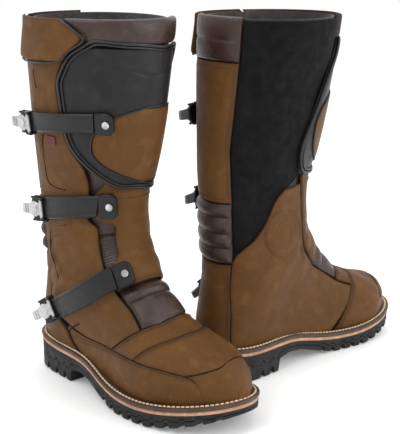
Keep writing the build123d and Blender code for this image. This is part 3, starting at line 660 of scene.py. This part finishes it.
def upper(side):
    quarter_front = [(0.0, 0.785), (0.030, 0.810), (0.045, 0.818), (0.055, 0.802), (0.072, 0.783), (0.098, 0.766),
                     (0.120, 0.759), (0.168, 0.762), (0.200, 0.766), (0.225, 0.774), (0.250, 0.791), (0.275, 0.818),
                     (0.312, 0.834), (0.388, 0.838), (0.404, 0.872), (0.500, 0.876), (0.590, 0.886), (0.725, 0.905)]
    quarter_back = shifted(REAR_LATERAL[:4], 0.0006) + [(0.560, 0.719), (0.600, 0.746), (0.642, 0.757), (0.725, 0.793)]
    panel("lateral_quarter", side, OILED, node="lateral_quarter", top=0.006,
          bottom=[(0.74, 0.718), (0.786, 0.716), (0.833, 0.726), (0.887, 0.736), (0.92, 0.738)], left=quarter_back,
          right=quarter_front, inner=-LEATHER, outer=0, relief=worn, puff=0.5)
    medial_front = shifted(FLAP_MEDIAL, -1 + 0.007) + [(0.640, 0.132), (0.795, 0.132)]
    medial_back = [(0.318, 0.215), (0.336, 0.258), (0.350, 0.282), (0.372, 0.300), (0.393, 0.321), (0.415, 0.358),
                   (0.432, 0.420), (0.445, 0.4325), (0.482, 0.436), (0.527, 0.411), (0.570, 0.393), (0.660, 0.395),
                   (0.795, 0.430)]
    panel("medial_quarter", side, OILED, node="medial_quarter", top=0.334, bottom=0.79, left=medial_front,
          right=medial_back, inner=-LEATHER, outer=0, relief=ankle_disc, puff=0.5, cut=True)
    panel("stretch_panel", side, STRETCH, node="stretch_panel", top=0.006, bottom=0.430, left=STRETCH_FRONT,
                    right=shifted(REAR_MEDIAL, -0.002), inner=-5.2, outer=-3.2, relief=stretch_relief)
    panel("rear_calf_panel", side, OILED, node="rear_calf_panel", top=0.088, bottom=0.343, left=REAR_MEDIAL,
          right=REAR_LATERAL, inner=-LEATHER, outer=0, relief=bulges, puff=0.6)
    panel("rear_bellows", side, PADDED, node="rear_bellows", top=0.344, bottom=0.444, left=REAR_MEDIAL,
                    right=REAR_LATERAL, inner=-LEATHER, outer=-0.8, relief=rear_ribs, step=1.2)
    panel("heel_counter", side, OILED, node="heel_counter", top=0.446, bottom=0.665, left=COUNTER_MEDIAL,
          right=shifted(REAR_LATERAL, -0.0006), inner=-LEATHER, outer=0, relief=counter_relief, cut=True, puff=0.5)
    foxing_low = [(0.600, 0.737), (0.640, 0.726), (0.665, 0.717), (0.700, 0.660), (0.750, 0.600), (0.963, 0.600)]
    panel("lateral_foxing", side, OILED, node="lateral_foxing", top=0.600, bottom=0.962, left=foxing_low,
          right=shifted(FOXING_TOP, -0.0004), inner=-LEATHER, outer=0, relief=bulges, cut=True, puff=0.6)
    panel("vamp", side, OILED, node="vamp", top=shifted(VAMP_TOP, 0.001), bottom=shifted(TOE_SEAM, -0.0008), left=shifted(FOXING_TOP, 0.0006),
          right=1.124, inner=-LEATHER, outer=0, relief=bulges, puff=0.8)
    toe_left = shifted(FOXING_TOP[4:8], 0.0006) + [(0.952, 0.805), (0.962, 0.745), (0.972, 0.670), (0.985, 0.600), (1.0, 0.590)]
    cap, cap_rim = sheet(top=TOE_SEAM, bottom=0.9985, left=toe_left, right=[(0.80, 1.42), (0.95, 1.42), (1.0, 1.60)],
                         inner=-LEATHER, outer=[(0.8, 0.0), (0.97, 0.3), (0.999, 0.0)], relief=bulges, cut=True, puff=1.0)
    tip = toe_tip()
    piece("toe_cap", [cap, tip], side, OILED, "boot", "toe_cap", np.concatenate([cap_rim, np.zeros(len(tip[0]))]))
    tongue_back = [(0.030, 0.790), (0.100, 0.740), (0.200, 0.748), (0.250, 0.778), (0.300, 0.815), (0.400, 0.850),
                   (0.560, 0.868), (0.600, 0.892), (0.745, 0.912)]
    tongue_front = [(0.030, 1.110), (0.200, 1.150), (0.500, 1.150), (0.600, 1.128), (0.745, 1.114)]
    panel("tongue", side, PADDED, node="tongue", top=0.046, bottom=[(0.880, 0.733), (0.968, 0.746), (1.067, 0.732), (1.13, 0.729)], left=tongue_back,
                    right=tongue_front, inner=[(0, -7.2), (0.600, -7.2), (0.640, -3.6)],
                    outer=[(0, -5.8), (0.595, -5.8), (0.618, -2.2)], relief=tongue_relief, step=1.1)
    front, front_rim = sheet(top=0.0, bottom=0.043, left=[(0.0, 0.790), (0.041, 0.846)], right=1.120, inner=-4.8,
                             outer=0.8, roll=3.2, puff=1.8)
    rear, rear_rim = sheet(top=0.0, bottom=0.087, left=REAR_MEDIAL, right=REAR_LATERAL, inner=-4.8, outer=0.6,
                           roll=3.0, puff=1.6, relief=lambda u, v, near: groove_at(u, 0.045, 0.003, 1.0))
    piece("collar", [front, rear], side, PADDED, "boot", "collar", np.concatenate([front_rim, rear_rim]))
    flap_front = [(0.0, 0.787), (0.013, 0.810), (0.025, 0.831), (0.034, 0.836), (0.055, 0.803), (0.083, 0.776)]
    panel("top_flap", side, OILED, body="top_flap_body", node="top_flap", top=0.0,
          bottom=[(0.60, 0.084), (0.70, 0.081), (0.78, 0.075)], left=0.626, right=flap_front,
          inner=[(0, 2.0), (0.083, 3.8)], outer=[(0, 3.6), (0.083, 5.0)], relief=top_flap_relief, roll=1.8)
    piece("top_flap_piping", [tube_on([(0.003, 0.792), (0.012, 0.810), (0.024, 0.829), (0.036, 0.835), (0.055, 0.803), (0.072, 0.782), (0.079, 0.74), (0.082, 0.70), (0.083, 0.632)],
                                      1.1, 5.0)], side, PIPING, "top_flap_body")


def front(side):
    """The flap on the shin: guard, inlay, piping, and the leather it is sewn to."""
    lateral = [(0.050, 0.874), (0.312, 0.874), (0.326, 0.852), (0.384, 0.850), (0.402, 0.928), (0.498, 0.928),
               (0.516, 0.892), (0.590, 0.900)]
    medial = [(0.050, 1.100), (0.100, 1.120), (0.200, 1.148), (0.290, 1.150), (0.318, 1.180)] + shifted(FLAP_MEDIAL[1:], -0.003)
    panel("front_flap", side, OILED, body="front", node="front_flap", top=0.050, bottom=0.589, left=lateral, right=medial,
          inner=[(0, -4.4), (0.316, -4.4), (0.334, -2.4)], outer=[(0, -2.7), (0.312, -2.7), (0.330, 0.2)],
          relief=lambda u, v, near: worn(u, v, near) * (u > 0.33), step=1.3)
    panel("shin_plate", side, GUARD, body="front", node="shin_plate", top=0.046,
          bottom=[(0.90, 0.306), (0.967, 0.312), (1.049, 0.318), (1.2, 0.312)], left=PLATE_LATERAL, right=PLATE_MEDIAL,
          inner=-2.2, outer=0.4, relief=plate_relief, roll=2.2)
    inlay, edge_shade = sheet(top=0.152, bottom=0.303, left=INLAY_LATERAL, right=INLAY_MEDIAL, inner=0.8, outer=2.2,
                       relief=lambda u, v, near: 0.7 * np.clip(near / 10, 0, 1), roll=1.2)
    piece("shin_inlay", [inlay], side, OILED, "front", "shin_inlay", edge_shade)
    border = [p[::1] for p in PLATE_LATERAL] + [(0.313, 0.967), (0.318, 1.049), (0.313, 1.17)] + PLATE_MEDIAL[::-1][1:] + [
        (0.046, 1.04), (0.042, 0.98), (0.039, 0.931), (0.036, 0.887), (0.035, 0.856)]
    ring = [(u * 1.0, v) for u, v in border]
    inner = [(0.178 + (u - 0.178) * 0.962, 0.99 + (v - 0.99) * 0.962) for u, v in border]
    piece("plate_piping", [tube_on(ring, 1.7, 1.4, closed=True), tube_on(inner, 1.1, 1.5, closed=True)], side, PIPING, "front")
    edge = INLAY_LATERAL + [(0.306, 1.026)] + INLAY_MEDIAL[::-1] + [(0.149, 1.028)]
    piece("inlay_piping", [tube_on(edge, 0.8, 2.0, closed=True)], side, PIPING, "front")


# ---------------------------------------------------------------- straps and buckles
def ribbon(path, width, low, high, teeth=0.0, pitch=3.2):
    """Moulded strap laid along a (u, v) path, with rounded edges and ladder teeth."""
    marks = np.linspace(0, 1, len(path))
    rough = leg(*spline(marks, path, np.linspace(0, 1, 60)).T)
    length = np.linalg.norm(np.diff(rough, axis=0), axis=1).sum()
    rows = int(length / 0.55)
    half, r = width / 2, 1.2
    across = np.array([-half, -half, -half + r, -half + 3.2, -half + 3.6, half - 3.6, half - 3.2, half - r, half, half, half - r, -half + r])
    level = np.array([low + r, high - r, high, high, high, high, high, high, high - r, low + r, low, low])
    toothed = np.array([0, 0, 0, 0, 1, 1, 0, 0, 0, 0, 0, 0])
    rings = []
    for k, (u, v) in enumerate(spline(marks, path, np.linspace(0, 1, rows))):
        origin, normal, around, down = leg_frame(u, v)
        phase = (k / (rows - 1) * length / pitch) % 1
        tooth = teeth * min(1.0, max(0.0, 3.2 * (0.62 - phase)))
        rings.append(origin + np.outer(across, down) + np.outer(level - 0.4 * toothed + toothed * tooth, normal))
    rings = np.array(rings)
    n, m = rings.shape[:2]
    faces = []
    for i in range(n - 1):
        for j in range(m):
            a, b = i * m + j, i * m + (j + 1) % m
            faces.append([a, b, b + m, a + m])
    faces += [list(range(m))[::-1], [(n - 1) * m + j for j in range(m)]]
    return rings.reshape(-1, 3), [[int(i) for i in f][::-1] for f in faces]


def stood_off(plane, hinge_z):
    """The buckle follows the pulled strap, not the leg: it turns out about the lever's hinge."""
    origin, x, y, z = plane
    hinge = origin - x * HINGE_BACK + z * hinge_z
    x, z = x * cos(BUCKLE_TILT) + z * sin(BUCKLE_TILT), z * cos(BUCKLE_TILT) - x * sin(BUCKLE_TILT)
    return hinge + x * HINGE_BACK - z * hinge_z, x, y, z


def buckle(side, name, path, width, low):
    u, v = path[-1]
    top = low + STRAP_THICK
    plane = stood_off(strap_plane(u, v), top + HINGE_LIFT)
    body = f"strap_{name}_body"
    deck = [(-15, -width / 2 - 2), (3, -width / 2 - 2), (7, -width / 2 + 3), (7, width / 2 - 3), (3, width / 2 + 2), (-15, width / 2 + 2)]
    parts = [ribbon(path, width, low, top), block(deck, low, top + 0.2, 1.0, plane)]
    for s in (-1, 1):
        cheek = box2d(-HINGE_BACK - 4.5, -HINGE_BACK + 4.5, s * 10.6 - 1.5, s * 10.6 + 1.5)
        parts.append(block(cheek, top - 1, top + 4.6, 0.9, plane))
        rail = box2d(-HINGE_BACK + 3, 6, s * (width / 2 + 0.2) - 1.2, s * (width / 2 + 0.2) + 1.2)
        parts.append(block(rail, top - 0.6, top + 1.6, 0.6, plane))
    piece(f"strap_{name}", parts, side, PLASTIC, body, f"strap_{name}")
    deck_z = top + HINGE_LIFT - LEVER_THICK / 2
    head = [(LEVER_R * cos(a), LEVER_R * sin(a)) for a in np.linspace(radians(42), radians(318), 30)]
    tail = [(9, -5.6), (17, -5.2), (18, -4.2), (18, 4.2), (17, 5.2), (9, 5.6)]
    cast = [block(head + tail, deck_z, deck_z + LEVER_THICK, 0.7, plane),
            block(box2d(-HINGE_BACK, -3, -6.5, 6.5), deck_z, deck_z + LEVER_THICK - 0.3, 0.5, plane),
            block(disc2d(5.6), deck_z + LEVER_THICK - 0.2, deck_z + LEVER_THICK + 0.7, 0.35, plane),
            block(box2d(8.5, 10.0, -4.6, 4.6), deck_z + LEVER_THICK - 0.2, deck_z + LEVER_THICK + 0.8, 0.3, plane),
            block(box2d(12.0, 13.5, -4.4, 4.4), deck_z + LEVER_THICK - 0.2, deck_z + LEVER_THICK + 0.8, 0.3, plane)]
    origin, x, y, z = plane
    middle = origin + x * -HINGE_BACK + z * (top + HINGE_LIFT)
    for radius, reach in ((1.9, 8.0), (1.5, 11.9)):
        cast.append(sweep(middle + np.outer(np.linspace(-reach, reach, 5), y), np.tile(z, (5, 1)), radius, sides=20))
    piece(f"lever_{name}", cast, side, ALLOY, f"lever_{name}_body", f"lever_{name}")


def buckles(side):
    bases, pads, screws = [], [], []
    for name, path, width, low in STRAPS:
        buckle(side, name, path, width, low)
        u, v = path[-1]
        bases.append(ribbon([(u - 0.001, v + 0.012), (u, v), (u + 0.002, v - 0.024)], width - 2, 0.15, 1.9, teeth=0))
        u, v = path[0]
        origin, normal, around, _ = leg_frame(u, v)
        plane = (origin + around * 13.3, around, np.cross(normal, around), normal)
        half = width / 2 + 1
        rounded = [(-12.2, -half), (-12.2, half)] + [(7.5 - 6.5 + 6.5 * sin(a), half - 6.5 + 6.5 * cos(a)) for a in np.linspace(0, pi / 2, 7)]
        rounded += [(7.5 - 6.5 + 6.5 * cos(a), -half + 6.5 - 6.5 * sin(a)) for a in np.linspace(0, pi / 2, 7)]
        pads.append(block(rounded[::-1], 1.6, low + STRAP_THICK, 1.2, plane))
        pads.append(block(disc2d(5.2), low + STRAP_THICK - 0.4, low + STRAP_THICK + 0.8, 0.4, plane))
        slotted = block(disc2d(3.8), low + STRAP_THICK + 0.5, low + STRAP_THICK + 2.2, 0.7, plane)
        screws.append(slotted)
    piece("catches", bases, side, PLASTIC, "boot", "catches")
    piece("strap_anchors", pads, side, PLASTIC, "front", "strap_anchors")
    piece("strap_screws", screws, side, STEEL, "front")


# ---------------------------------------------------------------- stitching
def border(table, start, stop, shift=0.0, count=14):
    """Part of a border as a (u, v) path."""
    f = soft(table)
    return [(u, float(f(u)) + shift) for u in np.linspace(start, stop, count)]


def seams(side):
    rows, dark, flap = [], [], []
    for d in (0.008, 0.016):
        rows += stitches(border(REAR_LATERAL, 0.10, 0.60, d))
        rows += stitches([(float(soft(TOE_SEAM)(v)) + d * 0.7, v) for v in np.linspace(0.85, 1.30, 18)], lift=0.9)
        rows += stitches([(float(soft(VAMP_TOP)(v)) + 0.002 + d * 0.7, v) for v in np.linspace(0.80, 1.11, 14)], lift=0.8)
        rows += stitches(border(FOXING_TOP, 0.62, 0.93, -d * 0.75, 20), lift=0.6)
        rows += stitches(border(COUNTER_MEDIAL, 0.455, 0.64, d * 0.8), lift=0.5)
        rows += stitches(border(STRETCH_FRONT, 0.345, 0.425, -d * 0.9 + 0.004, 10), lift=0.2)
        flap += stitches(border(FLAP_MEDIAL, 0.34, 0.58, -d - 0.002), lift=0.4)
        rows += stitches(border(shifted(FLAP_MEDIAL, -1), 0.345, 0.62, 0.008 + d), lift=0.3)
        rows += stitches([(0.22, 0.707 - d), (0.25, 0.701 - d), (0.28, 0.704 - d), (0.312, 0.711 - d * 0.6), (0.322, 0.736), (0.325, 0.772)], lift=0.4)
        rows += stitches([(0.398 + d, 0.775), (0.405 + d, 0.722), (0.440, 0.700 + d * 0.6), (0.473, 0.721 + d), (0.522, 0.743 + d)], lift=0.6)
    rows += stitches(border(REAR_MEDIAL, 0.10, 0.335, 0.008), lift=0.5)
    rows += stitches(border(REAR_LATERAL, 0.10, 0.335, -0.008), lift=0.5)
    rows += stitches([(0.098, v) for v in np.linspace(0.46, 0.61, 8)], lift=0.6)
    rows += stitches([(0.335, v) for v in np.linspace(0.44, 0.62, 8)], lift=0.6)
    piece("seam_stitch", rows, side, THREAD, "boot")
    lines = [
        ([(0.218, 0.709), (0.25, 0.701), (0.28, 0.703), (0.306, 0.708), (0.318, 0.722), (0.322, 0.745), (0.324, 0.770)], 0.6),
        ([(0.396, 0.775), (0.399, 0.740), (0.408, 0.713), (0.440, 0.698), (0.473, 0.719), (0.522, 0.743)], 0.6),
        ([(0.610, 0.765), (0.607, 0.745), (0.614, 0.734), (0.640, 0.725), (0.674, 0.717)], 0.5),
        ([(0.920, 0.858), (0.940, 0.881), (0.958, 0.925), (0.961, 0.975), (0.950, 1.050), (0.935, 1.122), (0.925, 1.19)], 1.5),
    ]
    piece("seam_lines", [tube_on(line, 0.75, lift, sides=8, flat=0.6) for line, lift in lines] + [
        tube_on([(0.097, 0.694), (0.115, 0.695), (0.132, 0.701)], 1.6, 0.2, flat=0.5)], side, SEAM, "boot")
    flap += stitches([(0.338, v) for v in np.linspace(0.865, 1.165, 12)], lift=0.4)
    flap += stitches([(0.580, v) for v in np.linspace(0.91, 1.12, 10)], lift=0.4)
    piece("flap_stitch", flap, side, THREAD, "front")
    piece("label", [block(box2d(-7, 7, -4.5, 4.5), 0.4, 1.6, 0.4, strap_plane(0.226, 0.737))], side, RED, "boot")


for boot in ("right", "left"):
    sole(boot)
    upper(boot)
    front(boot)
    buckles(boot)
    seams(boot)
    for node, look in (("insole_board", BOARD), ("shank", STEEL), ("footbed", MESH), ("lining", MESH)):
        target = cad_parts[f"{boot}_{node}"]
        target.data.materials.clear()
        target.data.materials.append(look)

# ---------------------------------------------------------------- floor, light, camera
bpy.ops.mesh.primitive_plane_add(size=12, location=(0, 0, -0.0005))
floor = bpy.context.object
floor.name = "floor"
floor_paint = bpy.data.materials.new("floor_paint")
floor_paint.use_nodes = True
floor_paint.node_tree.nodes["Principled BSDF"].inputs["Base Color"].default_value = (0.86, 0.86, 0.86, 1)
floor_paint.node_tree.nodes["Principled BSDF"].inputs["Emission Color"].default_value = (1, 1, 1, 1)
floor_paint.node_tree.nodes["Principled BSDF"].inputs["Emission Strength"].default_value = 0.12
floor_paint.node_tree.nodes["Principled BSDF"].inputs["Roughness"].default_value = 0.7
floor.data.materials.append(floor_paint)

scene = bpy.context.scene
world = bpy.data.worlds.new("studio")
world.use_nodes = True
world.node_tree.nodes["Background"].inputs["Color"].default_value = (1, 1, 1, 1)
world.node_tree.nodes["Background"].inputs["Strength"].default_value = 1.0
scene.world = world

CAMERA = Vector((0.7931, -0.8179, 0.4649))
HEADING, PITCH, ROLL = radians(46.4), radians(69.98), radians(0.43)


def lamp(name, across, ahead, height, size, power):
    """Area light placed across and ahead of the camera's line, aimed at the boots."""
    data = bpy.data.lights.new(name, "AREA")
    data.size, data.energy = size, power
    obj = bpy.data.objects.new(name, data)
    obj.location = Matrix.Rotation(HEADING, 4, "Z") @ Vector((across, ahead, height))
    obj.rotation_euler = (Vector((0, 0, 0.18)) - obj.location).to_track_quat("-Z", "Y").to_euler()
    scene.collection.objects.link(obj)


lamp("key", -1.2, -0.9, 1.9, 1.2, 15)
lamp("fill", 1.6, -0.8, 1.1, 1.4, 17)
lamp("top", 0.1, 0.5, 2.2, 1.6, 14)

camera = bpy.data.objects.new("camera", bpy.data.cameras.new("camera"))
camera.data.sensor_fit = "VERTICAL"
camera.data.sensor_height = 36
camera.data.lens = 85.24
camera.data.shift_y = 0.2259
camera.location = CAMERA
camera.rotation_euler = (Matrix.Rotation(HEADING, 3, "Z") @ Matrix.Rotation(PITCH, 3, "X") @ Matrix.Rotation(ROLL, 3, "Z")).to_euler()
scene.collection.objects.link(camera)
scene.camera = camera
scene.view_settings.view_transform = "Standard"
